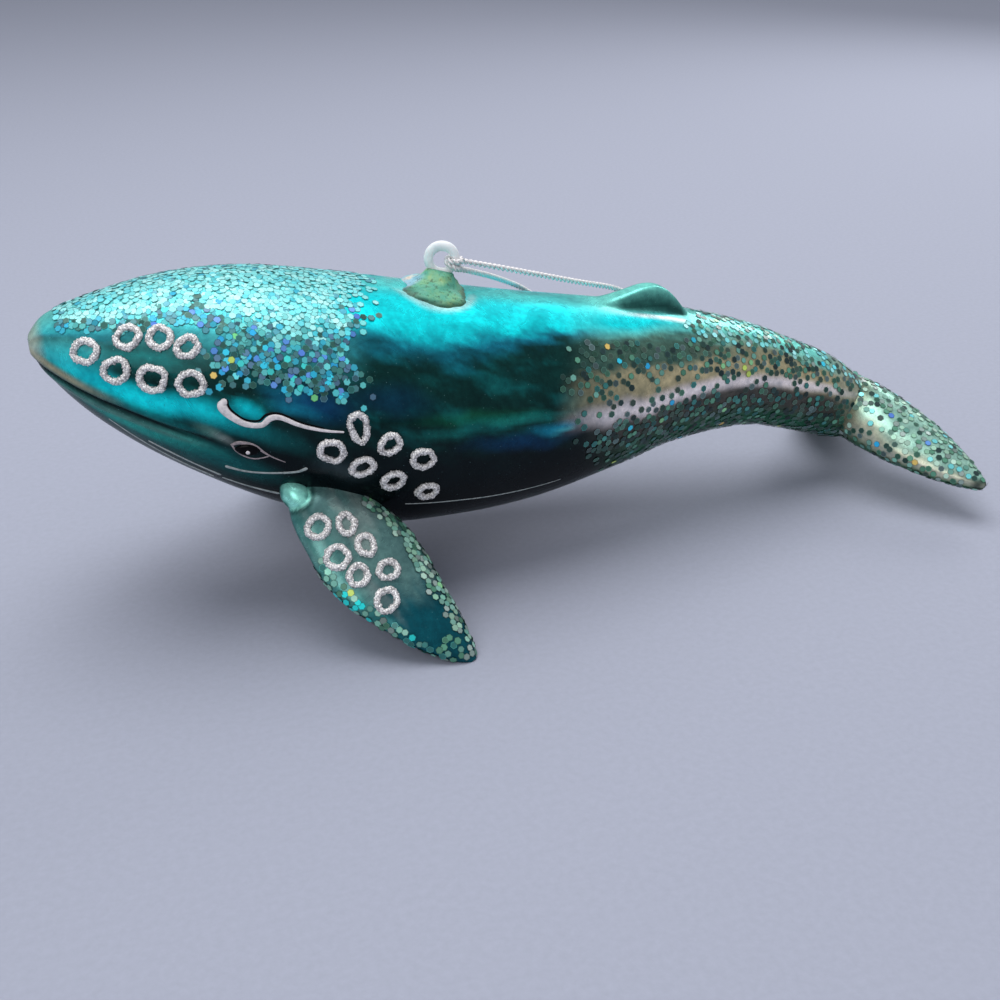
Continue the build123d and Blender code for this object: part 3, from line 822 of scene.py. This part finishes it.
def flukeTone(point, normal):
    # Cream glass: the mint along its upper edge is a painted reflection of the light above, the pale band across its
    # side a painted highlight and the green where it faces down painted shade; dusky close to the tail stock and dark
    # at the lobe tips
    wander = noise(point * 0.22)
    up = normal.z + 0.25 * wander
    return layTones(
        # Green where it faces down is painted shade, the mint where it faces up a painted reflection
        (0.05, 0.16, 0.08), ("cream", ramp(up, -0.65, 0)), ((0.36, 0.68, 0.56), 0.85 * ramp(up, 0.45, 0.85)),
        # A pale band of painted highlight across its side
        ((0.6, 0.6, 0.5), 0.7 * bump(up - 0.2, 0.35)),
        ((0.17, 0.17, 0.1), 0.8 * bump(skinGap(point), 3.2 + wander)),
        ((0.05, 0.07, 0.06), 0.9 * bump(abs(point.y) - 27.6, 0.9)),
    )


tailFlukes = makeFlukes()
paintVerts(tailFlukes.data, flukeTone)
print("Flukes made,", len(tailFlukes.data.vertices), "vertices")

# Flakes: cut hexagons lying on the glass
flake = {"radius": 0.6, "face": 0.86, "faceLift": 0.012, "edge": 0.42, "ghost": 2.2, "lift": 0.07, "liftRange": 0.08,
         "tilt": 2.5, "seed": 11, "batch": 200}
flakeMint = [
    (0.26, 0.8, 0.79), (0.2, 0.76, 0.78), (0.32, 0.85, 0.83), (0.14, 0.7, 0.76), (0.22, 0.75, 0.74),
    (0.38, 0.87, 0.85),
]
flakeAqua = [
    (0.1, 0.62, 0.66), (0.06, 0.52, 0.6), (0.14, 0.66, 0.66), (0.04, 0.42, 0.56), (0.12, 0.58, 0.56),
    (0.1, 0.4, 0.48),
]
flakeBlue = [
    (0.03, 0.44, 0.8), (0.04, 0.6, 0.8), (0.1, 0.24, 0.7), (0.05, 0.66, 0.84), (0.14, 0.34, 0.8),
    (0.06, 0.7, 0.66), (0.03, 0.5, 0.74), (0.1, 0.3, 0.74),
]
flakeWarm = [(0.22, 0.78, 0.3), (0.3, 0.7, 0.34), (0.66, 0.86, 0.18), (0.9, 0.64, 0.18)]
flakeHolo = flakeBlue * 4 + flakeWarm
flakeDusk = [
    (0.03, 0.16, 0.15), (0.05, 0.22, 0.2), (0.06, 0.17, 0.22), (0.08, 0.26, 0.28), (0.03, 0.12, 0.1),
    (0.1, 0.22, 0.34),
]
flakeDark = [
    (0.02, 0.06, 0.05), (0.03, 0.1, 0.07), (0.015, 0.04, 0.04), (0.05, 0.13, 0.1), (0.08, 0.13, 0.13),
    (0.05, 0.09, 0.07),
]
flakeGreen = [
    (0.1, 0.3, 0.2), (0.22, 0.52, 0.4), (0.07, 0.21, 0.14), (0.3, 0.58, 0.46), (0.15, 0.38, 0.31),
    (0.24, 0.33, 0.3),
]
flakeSage = [
    (0.34, 0.58, 0.44), (0.26, 0.5, 0.36), (0.44, 0.66, 0.54), (0.4, 0.52, 0.48), (0.22, 0.46, 0.38),
    (0.3, 0.6, 0.5),
]

rng = Random(flake["seed"])


def scatterPlaces(mesh, wanted):
    # Places spread evenly over a mesh, in random order, each with the way its triangle faces
    mesh.calc_loop_triangles()
    corners = [tuple(mesh.vertices[i].co.copy() for i in t.vertices) for t in mesh.loop_triangles]
    areas, total = [], 0
    for a, b, c in corners:
        total += (b - a).cross(c - a).length / 2
        areas.append(total)
    step = total / wanted
    index, places = 0, []
    for target in [(count + rng.random()) * step for count in range(wanted)]:
        while index < len(areas) - 1 and areas[index] < target:
            index += 1
        a, b, c = corners[index]
        u, v = rng.random(), rng.random()
        if u + v > 1:
            u, v = 1 - u, 1 - v
        places.append((a + (b - a) * u + (c - a) * v, (b - a).cross(c - a).normalized()))
    rng.shuffle(places)
    return places


def scatterFlakes(name, piece, wanted, chooseTone, spacing):
    # Of the places tried, keeps those that chooseTone gives a tone and that have no flake near
    rng.seed(flake["seed"] + len(name))
    near, tilt = spacing * mm, radians(flake["tilt"])
    parts, bm, taken, paint = [], bmesh.new(), {}, []
    for point, normal in scatterPlaces(piece.data, wanted):
        tone = chooseTone(point / mm, normal)
        if tone is None:
            continue
        x, y, z = (int(along // near) for along in point)
        close = [p for dx in (-1, 0, 1) for dy in (-1, 0, 1) for dz in (-1, 0, 1)
                 for p in taken.get((x + dx, y + dy, z + dz), ())]
        if any((p - point).length < near for p in close):
            continue
        taken.setdefault((x, y, z), []).append(point)
        lean = Vector([rng.gauss(0, tilt) for _ in range(3)])
        lift = flake["lift"] + flake["liftRange"] * rng.random()
        seat = seatMatrix(point + normal * lift * mm, normal + lean) @ Matrix.Rotation(rng.random() * pi, 4, "Z")
        size = flake["radius"] * mm * (0.92 + 0.16 * rng.random())
        # Each has its face on a cut edge, dark round a bright face and pale round a see-through one
        edge = flake["edge"] if max(tone) > 0.2 else flake["ghost"]
        face = seat @ Matrix.Translation((0, 0, flake["faceLift"] * mm))
        for radius, matrix in ((size, seat), (size * flake["face"], face)):
            bmesh.ops.create_circle(bm, cap_ends=True, segments=6, radius=radius, matrix=matrix)
        paint += [tuple(channel * edge for channel in tone), tone]
        if len(bm.faces) >= flake["batch"]:
            parts.append(bm)
            bm = bmesh.new()
    mesh = newObject(name, joinParts(parts + [bm]), foilLook).data
    attribute = mesh.color_attributes.new("tone", "FLOAT_COLOR", "CORNER")
    values = []
    for face, tone in zip(mesh.polygons, paint):
        values.extend((*tone, 1) * face.loop_total)
    attribute.data.foreach_set("color", values)
    print(name, len(paint) // 2, "flakes")


def vary(tone, amount=0.25):
    share = 1 + rng.uniform(-amount, amount)
    return tuple(min(channel * share, 1) for channel in tone)


def pick(choices, amount=0.25):
    return vary(rng.choice(choices), amount)


def headFlakeTone(point, normal):
    # Crowded over the top of the head, then coloured ones where they thin out
    if point.x > -22 or point.x < -75.5 or normal.z < 0:
        return None
    angle = angleOn(point) + 4 * noise(point * 0.13)
    low = 47 - 16 * ramp(point.x, -57, -44) + 22 * ramp(point.x, -40, -32)
    end = ramp(point.x - 0.14 * max(angle - 62, 0), -36, -25)
    crowd = ramp(angle, low - 5, low + 5) * (1 - end) ** 3
    bright = ramp(angle + 5 * noise(point * 0.2), low + 4, low + 20)
    if rng.random() < crowd:
        if rng.random() < bright:
            return pick(flakeMint if rng.random() < 0.9 else flakeAqua, 0.1)
        if rng.random() < 0.15:
            return pick(flakeHolo)
        return pick(flakeAqua if rng.random() < 0.55 else flakeDusk)
    patch = bump(point.x + 45, 14) * bump(angle - 29, 16)
    if rng.random() < patch * 1.2:
        share = rng.random()
        return pick(flakeHolo if share < 0.3 else flakeDusk if share < 0.75 else flakeAqua)
    return None


def rearFlakeTone(point, normal):
    # Dark and green ones over the silvered tail, crowded above and below its painted highlight band
    if point.x < -6:
        return None
    angle = angleOn(point) + 5 * noise(point * 0.1)
    along = ramp(point.x - 0.25 * abs(angle - 15), -6, 4)
    if angle > 46 and point.x < 30:
        along *= ramp(point.x, 24, 32)
    band = highlightBandAngle(point.x)
    bare = 13 - 9 * ramp(point.x, 22, 34)
    sides = ramp(angle - band, bare, bare + 9) + ramp(band - angle, 3, 12)
    density = 0.12 + 0.6 * sides - 0.3 * ramp(angle, 52, 70)
    onFin = 10 < point.x < 31 and angle > 66
    if onFin or rng.random() > density * along:
        return None
    if rng.random() < 0.02:
        return pick(flakeBlue[:2] + flakeWarm[1:])
    if angle > 46:
        return pick(flakeMint + flakeGreen + flakeDark[:4], 0.3)
    if angle > band - 6:
        return pick(flakeDark * 2 + flakeGreen[::2] + flakeDusk[:2], 0.3)
    return pick(flakeDark * 2 + flakeDusk[:2] + flakeGreen[:1] + flakeGreen[2:3], 0.5)


def flukeFlakeTone(point, normal):
    if point.z < 0.8 or point.x > 79:
        return None
    up = normal.z + 0.2 * noise(point * 0.3)
    density = (0.07 + 0.22 * ramp(up, 0.6, 0.85) + 0.3 * bump(up + 0.2, 0.45) + 0.22 * ramp(abs(point.y), 8, 24)
               + 0.35 * bump(skinGap(point), 2.5))
    if rng.random() > density:
        return None
    if rng.random() < 0.02:
        return pick(flakeHolo)
    if up > 0.6:
        return pick(flakeMint[:2] + flakeSage[:4] + flakeGreen + flakeDark[:4])
    return pick(flakeDark * 2 + flakeGreen + flakeSage[2:5], 0.3)


def flipperFlakeTone(point, normal):
    # Along both edges and over the tip
    at = flipperInverse @ Vector((point.x, -abs(point.y), point.z))
    share = flipperShare(at)
    if share < 0.2 or point.z < 0.85:
        return None
    halfChord, _, shift = smoothRow(flipper["rows"], min(share, 1))
    edge = (at.x - shift) / halfChord
    trailing = ramp(edge + 0.25 * ramp(share, 0.4, 0.85), 0.5, 0.76)
    leading = 0.75 * ramp(-edge, 0.78, 0.95) * ramp(share, 0.3, 0.45)
    if rng.random() > max(trailing, leading, 0.5 * ramp(share, 0.86, 0.96)):
        return None
    if rng.random() < 0.02:
        return pick(flakeWarm)
    if edge < 0 and rng.random() < 0.9 * bump(share - 0.55, 0.12) + 0.04:
        return vary((0.02, 0.72, 0.7))
    return pick(flakeGreen + flakeDusk[:2], 0.3) if edge < 0 else pick(flakeGreen + flakeSage)


scatterFlakes("headFlakes", glassBody, 60000, headFlakeTone, 0.58)
scatterFlakes("rearFlakes", glassBody, 26000, rearFlakeTone, 0.84)
scatterFlakes("flukeFlakes", tailFlukes, 6000, flukeFlakeTone, 0.86)
scatterFlakes("flipperFlakes", leftFlipper, 7000, flipperFlakeTone, 0.74)
scatterFlakes("farFlipperFlakes", rightFlipper, 7000, flipperFlakeTone, 0.74)

# Glue rings: rough beads of glitter glue, each closed on itself. Rows on the body: place, degrees above the
# side, length, width, turn, pointed end
glue = {"radius": 0.6, "lift": 0.16, "wobble": 0.13, "swell": 0.16, "grit": 0.26, "grains": 2900, "segments": 64,
        "sides": 14}
headRings = [
    (-72.3, 26, 4.6, 4.3, 10, 0), (-66.2, 40, 4.5, 4.3, -25, 0.1), (-61.8, 40, 4.3, 4.2, 15, 0),
    (-58.3, 35, 4.3, 3.95, -20, 0.15), (-68.6, 15, 4.8, 4.4, -15, 0.1), (-63.8, 14, 4.9, 4.5, 20, 0),
    (-58.6, 15, 4.7, 4.5, 0, 0.1),
]
flankRings = [
    (-35.2, 8, 5.3, 4.3, -100, 0.45), (-39.5, -5, 4.8, 4.3, 30, 0.05), (-30.6, 2, 4.3, 4.1, -30, 0.2),
    (-25.4, -5, 4.6, 4.2, 20, 0.1), (-35, -10.5, 4.6, 3.8, -20, 0.1), (-30.1, -16.5, 4.4, 3.95, -25, 0.05),
    (-24.4, -23.5, 4.3, 4, 15, 0.1),
]
# Rows on a flipper: share of the span, millimetres towards the trailing edge, length, width, turn, pointed end
flipperRings = [
    (0.203, -6.5, 4.5, 4.3, 20, 0), (0.262, -2.9, 4.2, 4, 60, 0.2), (0.347, -7.2, 4.5, 4.3, -20, 0),
    (0.375, -2.5, 4.2, 4, 70, 0.15), (0.455, -6.4, 4.2, 4, 35, 0), (0.508, -2.2, 4.3, 4.1, -10, 0.2),
    (0.602, -5.3, 4.6, 4.3, 30, 0.1),
]


def makeGlueRing(seat, tree, length, width, turn, point):
    # A ring of small rounds, each set down on the glass below it, then roughened
    sections = []
    turned = seat @ Matrix.Rotation(radians(turn), 4, "Z")
    hub = turned.to_translation()
    for index in range(glue["segments"] + 1):
        angle = 2 * pi * (index % glue["segments"]) / glue["segments"]
        heading = Vector((cos(angle), sin(angle), 0))
        squeeze = 1 - point * 0.5 * (1 - cos(angle))
        wobble = 1 + glue["wobble"] * noise(hub * 900 + heading * 1.5)
        flat = Vector((heading.x * (length / 2 - glue["radius"]) * (1 + 0.15 * point),
                       heading.y * (width / 2 - glue["radius"]) * squeeze, 0)) * wobble
        found, normal, _, _ = tree.find_nearest(turned @ (flat * mm))
        along = (turned.to_3x3() @ Vector((-heading.y, heading.x, 0))).normalized()
        thick = glue["radius"] * (1 + glue["swell"] * noise(hub * 700 + heading * 2))
        sections.append(seatMatrix(found + normal * glue["lift"] * mm, along, normal) @ Matrix.Scale(thick * mm, 4))
    bm = wrapSections(sections, glue["sides"], closed=True)
    for vert in bm.verts:
        distances, _ = voronoi(vert.co * glue["grains"])
        grain = 1 - min(distances[0] * 1.6, 1)
        vert.co += vert.normal * (grain - 0.45) * glue["grit"] * mm
    return bm


def glueGroup(name, seats, tree, node):
    rings = [makeGlueRing(seat, tree, *row) for seat, row in seats]
    return newObject(name, joinParts(rings), glueLook, node, slotName="glitter_glue")


def bodySeats(rows, side):
    seats = []
    for place, angle, length, width, turn, point in rows:
        seats.append((seatMatrix(*onSkin(place, angle, side)), (length, width, side * turn, point)))
    return seats


for sideName, side in bothSides:
    glueGroup(sideName + "HeadRings", bodySeats(headRings, side), bodyTree, sideName + "_head_glue_rings")
    glueGroup(sideName + "FlankRings", bodySeats(flankRings, side), bodyTree, sideName + "_flank_glue_rings")

flipperTree = BVHTree.FromObject(leftFlipper, bpy.context.evaluated_depsgraph_get())


def flipperSeats():
    seats = []
    outwards = flipperMatrix.col[1].to_3d()
    for share, across, length, width, turn, point in flipperRings:
        start = flipperMatrix @ Vector((across, 0, flipperReach(share))) * mm
        spot, normal, _, _ = flipperTree.ray_cast(start + outwards * 0.02, -outwards)
        seats.append((seatMatrix(spot, normal, flipperMatrix.col[0].to_3d()), (length, width, turn, point)))
    return seats


leftFlipperRings = glueGroup("leftFlipperRings", flipperSeats(), flipperTree, "left_flipper_glue_rings")
mirrorPiece(leftFlipperRings, "rightFlipperRings", "right_flipper_glue_rings", slotName="glitter_glue")
print("Glue rings laid")

# Eyes and brushed lines: rows of place and degrees above the side, with the brush's half width at each
whitePaint = brushPaint("whitePaint", (0.86, 0.8, 0.81), (0.6, 0.57, 0.58), 0.4)
blackPaint = brushPaint("blackPaint", (0.003, 0.003, 0.004), (0.001, 0.001, 0.002), 0.1, 0.05)
lidPaint = brushPaint("lidPaint", (0.4, 0.33, 0.34), (0.22, 0.2, 0.21), 0.35)
paleLine = brushPaint("paleLine", (0.42, 0.46, 0.45), (0.22, 0.27, 0.27), 0.3)
brush = {"stepsPerRow": 8, "sides": 10, "flatten": 0.42, "end": [(0.35, 0.93), (0.7, 0.7), (0.95, 0.3)]}
brushLines = {
    "scroll": (whitePaint, [
        (-54.4, 8.6, 0.55), (-54.7, 6, 0.75), (-53.9, 2.4, 0.62), (-51.8, -0.6, 0.5), (-49.5, 0.6, 0.45),
        (-48.1, 5, 0.5), (-46.6, 6.3, 0.42), (-43.9, 4.4, 0.33), (-40.6, 4.2, 0.25), (-37.6, 5.2, 0.15),
    ]),
    "scrollEdge": (blackPaint, [
        (-53.9, 9.6, 0.18), (-53.8, 6.4, 0.2), (-53, 3.6, 0.2), (-51.6, 1.6, 0.18), (-49.8, 2.6, 0.18),
        (-48.5, 6.6, 0.2), (-46.6, 8, 0.2), (-43.8, 5.9, 0.16), (-40.5, 5.3, 0.12),
    ]),
    "cheekLine": (paleLine, [
        (-54.6, -33.5, 0.36), (-52, -32, 0.24), (-48, -26.6, 0.22), (-44.8, -21.8, 0.24), (-43.4, -18.2, 0.3),
    ]),
    "throatLine": (paleLine, [
        (-55, -49.5, 0.22), (-52, -48.2, 0.24), (-47.2, -44.8, 0.36),
    ]),
    "jawLine": (paleLine, [
        (-65.2, -41, 0.2), (-62, -42.8, 0.24), (-58.6, -45, 0.24), (-55.6, -46.2, 0.32),
    ]),
    "chinLine": (paleLine, [
        (-70.4, -40, 0.14), (-66.6, -46.5, 0.2), (-61.5, -52, 0.22), (-56.5, -53.8, 0.28),
    ]),
    "bellyLine": (paleLine, [
        (-27.6, -33, 0.1), (-20, -34, 0.15), (-12, -35.2, 0.15), (-4, -36, 0.13), (0.5, -36, 0.08),
    ]),
    "lidTop": (lidPaint, [
        (-53.9, -14.8, 0.2), (-53, -12.4, 0.3), (-51.7, -11.4, 0.3), (-50.5, -11.9, 0.26), (-49.4, -14.2, 0.18),
        (-48.2, -16, 0.12), (-46.4, -17.2, 0.07),
    ]),
    "lidUnder": (lidPaint, [
        (-53.8, -15.6, 0.16), (-53.3, -18, 0.18), (-52.3, -20, 0.18), (-51, -20.1, 0.17), (-49.8, -18.2, 0.14),
        (-48.8, -16.2, 0.1),
    ]),
}


def makeBrushLine(rows, side):
    # A flattened rounded bead along a smooth line on the body, its ends rounded off
    rows = [(index, *row) for index, row in enumerate(rows)]
    perRow = brush["stepsPerRow"]
    last = (len(rows) - 1) * perRow
    places = []
    for step in range(last + 1):
        place, angle, halfWidth = smoothRow(rows, step / perRow)
        places.append((*onSkin(place, angle, side), halfWidth * mm))
    sections = []
    for index, (spot, normal, halfWidth) in enumerate(places):
        ahead = (places[min(index + 1, last)][0] - places[max(index - 1, 0)][0]).normalized()
        level = seatMatrix(spot, ahead, normal) @ Matrix.Scale(halfWidth, 4)
        rounds = [(0, 1)]
        if index == 0:
            rounds = [(-out, thin) for out, thin in reversed(brush["end"])] + rounds
        if index == last:
            rounds = rounds + brush["end"]
        for out, thin in rounds:
            sections.append(Matrix.Translation(ahead * out * halfWidth) @ level @ Matrix.Scale(thin, 4))
    bm = wrapSections(sections, brush["sides"])
    for vert in bm.verts:
        found, normal, _, _ = bodyTree.find_nearest(vert.co)
        vert.co = vert.co - normal * (vert.co - found).dot(normal) * (1 - brush["flatten"])
    return bm


for name, (material, rows) in brushLines.items():
    for sideName, side in bothSides:
        newObject(sideName + name[0].upper() + name[1:], makeBrushLine(rows, side), material)

eye = {"place": (-51.75, -14.8), "halfLength": 1.92, "halfHeight": 1, "depth": 0.5, "turn": 4,
       "glint": (0.1, -0.2, 0.44), "glintRadius": 0.34, "glintDepth": 0.45}


def makeEye(sideName, side):
    # An almond of gloss black with its white glint
    seat = seatMatrix(*onSkin(*eye["place"], side)) @ Matrix.Rotation(radians(side * eye["turn"]), 4, "Z")
    bm = bmesh.new()
    bmesh.ops.create_uvsphere(bm, u_segments=32, v_segments=16, radius=1)
    for vert in bm.verts:
        x, y, z = vert.co
        pointed = (1 - abs(x) ** 2.2) ** 0.35
        vert.co = Vector((x * eye["halfLength"], y * eye["halfHeight"] * pointed, z * eye["depth"])) * mm
    bmesh.ops.transform(bm, matrix=seat, verts=bm.verts)
    newObject(sideName + "Eye", bm, blackPaint)
    bm = bmesh.new()
    along, down, out = eye["glint"]
    shift = Vector((along, -side * down, out)) * mm
    bmesh.ops.create_uvsphere(bm, u_segments=16, v_segments=10, radius=eye["glintRadius"] * mm)
    bmesh.ops.scale(bm, vec=(1, 1, eye["glintDepth"]), verts=bm.verts)
    bmesh.ops.transform(bm, matrix=seat @ Matrix.Translation(shift), verts=bm.verts)
    newObject(sideName + "EyeGlint", bm, whitePaint)


for sideName, side in bothSides:
    makeEye(sideName, side)
print("Eyes and lines painted")

# Cement dome over the sealed neck: rows of height above the back, half width, lean towards the tail
dome = {
    "place": -16.64, "steps": 40, "segments": 64, "corner": 0.36, "lumps": 0.5, "pits": 0.16,
    "rows": [(-2.4, 6, -0.35), (-1.4, 6.1, -0.4), (-0.6, 5.8, -0.35), (0, 5, -0.1), (0.6, 4, 0.15),
             (1.3, 3.2, 0.35), (2, 2.55, 0.5), (2.5, 2.1, 0.6), (2.75, 1.4, 0.65)],
}


def makeDome():
    seat = seatMatrix(*onSkin(dome["place"], 90, 1))
    inverse = seat.inverted()
    foot, top = dome["rows"][0][0], dome["rows"][-1][0]
    sections = []
    for index in range(dome["steps"] + 1):
        height = foot + (top - foot) * index / dome["steps"]
        halfWidth, lean = smoothRow(dome["rows"], height)
        level = seat @ Matrix.Translation(Vector((lean, 0, height)) * mm)
        sections.append(level @ Matrix.Diagonal((halfWidth * mm, halfWidth * (1.14 - 0.04 * height) * mm, 1, 1)))
    bm = wrapSections(sections, dome["segments"])
    for vert in bm.verts:
        # Its skirt runs out to a corner, low on the left and towards the head
        at = inverse @ vert.co
        if at.x < 0:
            at.x *= 1 + dome["corner"] * bump(at.y / mm + 4.2, 2.8)
            vert.co = seat @ at
        rough = dome["lumps"] * noise(vert.co * 330) + dome["pits"] * noise(vert.co * 1100)
        vert.co += vert.normal * rough * mm
    piece = newObject("cementDome", bm, brushedCement(), "cement_dome", slotName="cement")

    def domeTone(point, normal):
        # Darker at the skirt where it meets the glass, with a whitish smear on the side towards the head
        at = (inverse @ (point * mm)) / mm
        facing = (0.26 * at.y - 0.97 * at.x) / max(Vector((at.x, at.y)).length, 0.1)
        return layTones(
            (1, 1, 1), ((0.1, 0.17, 0.14), 0.85 * bump(skinGap(point) - 0.15, 0.5)),
            ((3.6, 1.5, 2.9), 0.75 * ramp(facing, 0.68, 0.9) * (1 - ramp(at.z, 1, 2.4))),
        )

    paintVerts(piece.data, domeTone)


def makeRing():
    # Thicker at the top than at the foot, as the real one is
    seat, segments = ringSeat(), ring["segments"]
    sections = []
    for index in range(segments + 1):
        angle = 2 * pi * (index % segments) / segments
        along = Vector((cos(angle), sin(angle), 0))
        inner = ring["hole"] - ring["holeDrop"] * along.y
        wire = (ring["outer"] - inner) / 2
        level = seatMatrix(along * (inner + wire) * mm, Vector((-along.y, along.x, 0)), along)
        sections.append(seat @ level @ Matrix.Diagonal((wire * mm, ring["thickness"] * mm, mm, 1)))
    bm = wrapSections(sections, 24, closed=True)
    newObject("hangingRing", bm, milkyRing(), "hanging_ring", slotName="ring")


makeDome()
makeRing()
print("Dome and ring made")

# A plain pale floor and soft studio light
studio = {
    "floor": (0.38, 0.4, 0.49), "world": (0.8, 0.83, 0.9, 1), "strength": 0.5,
    # Each lamp's place, what it points at, size and power
    "lamps": {"overhead": ((-0.05, 0.1, 0.62), (0, 0, 0.02), 0.6, 3),
              "front": ((-0.7, -0.9, 0.75), (0, 0, 0.03), 0.9, 4),
              "rim": ((0.45, 0.35, 0.3), (0, 0, 0.03), 0.25, 0.8)},
}


def makeFloor():
    bm = bmesh.new()
    bmesh.ops.create_grid(bm, x_segments=2, y_segments=2, size=3)
    mesh = bpy.data.meshes.new("floor")
    bm.to_mesh(mesh)
    bm.free()
    floor = bpy.data.objects.new("floor", mesh)
    scene.collection.objects.link(floor)
    material, tree, shader = newMaterial("paleFloor")
    weave = addPattern(tree, "Noise", 900, Detail=4, Roughness=0.6)["Fac"]
    light = studio["floor"]
    tone = addRamp(weave, (0.3, tuple(c * 0.93 for c in light)), (0.7, light))
    setInputs(shader, {"Base Color": tone, "Roughness": 0.9})
    mesh.materials.append(material)


def addLamp(name, place, aim, size, power):
    data = bpy.data.lights.new(name, "AREA")
    data.shape, data.size, data.energy = "DISK", size, power
    lamp = bpy.data.objects.new(name, data)
    lamp.location = place
    lamp.rotation_euler = (Vector(aim) - Vector(place)).to_track_quat("-Z", "Y").to_euler()
    scene.collection.objects.link(lamp)


makeFloor()
for name, lamp in studio["lamps"].items():
    addLamp(name, *lamp)
world = bpy.data.worlds.new("studioWorld")
world.use_nodes = True
setInputs(world.node_tree.nodes["Background"], {"Color": studio["world"], "Strength": studio["strength"]})
scene.world = world
scene.view_settings.view_transform = "Standard"
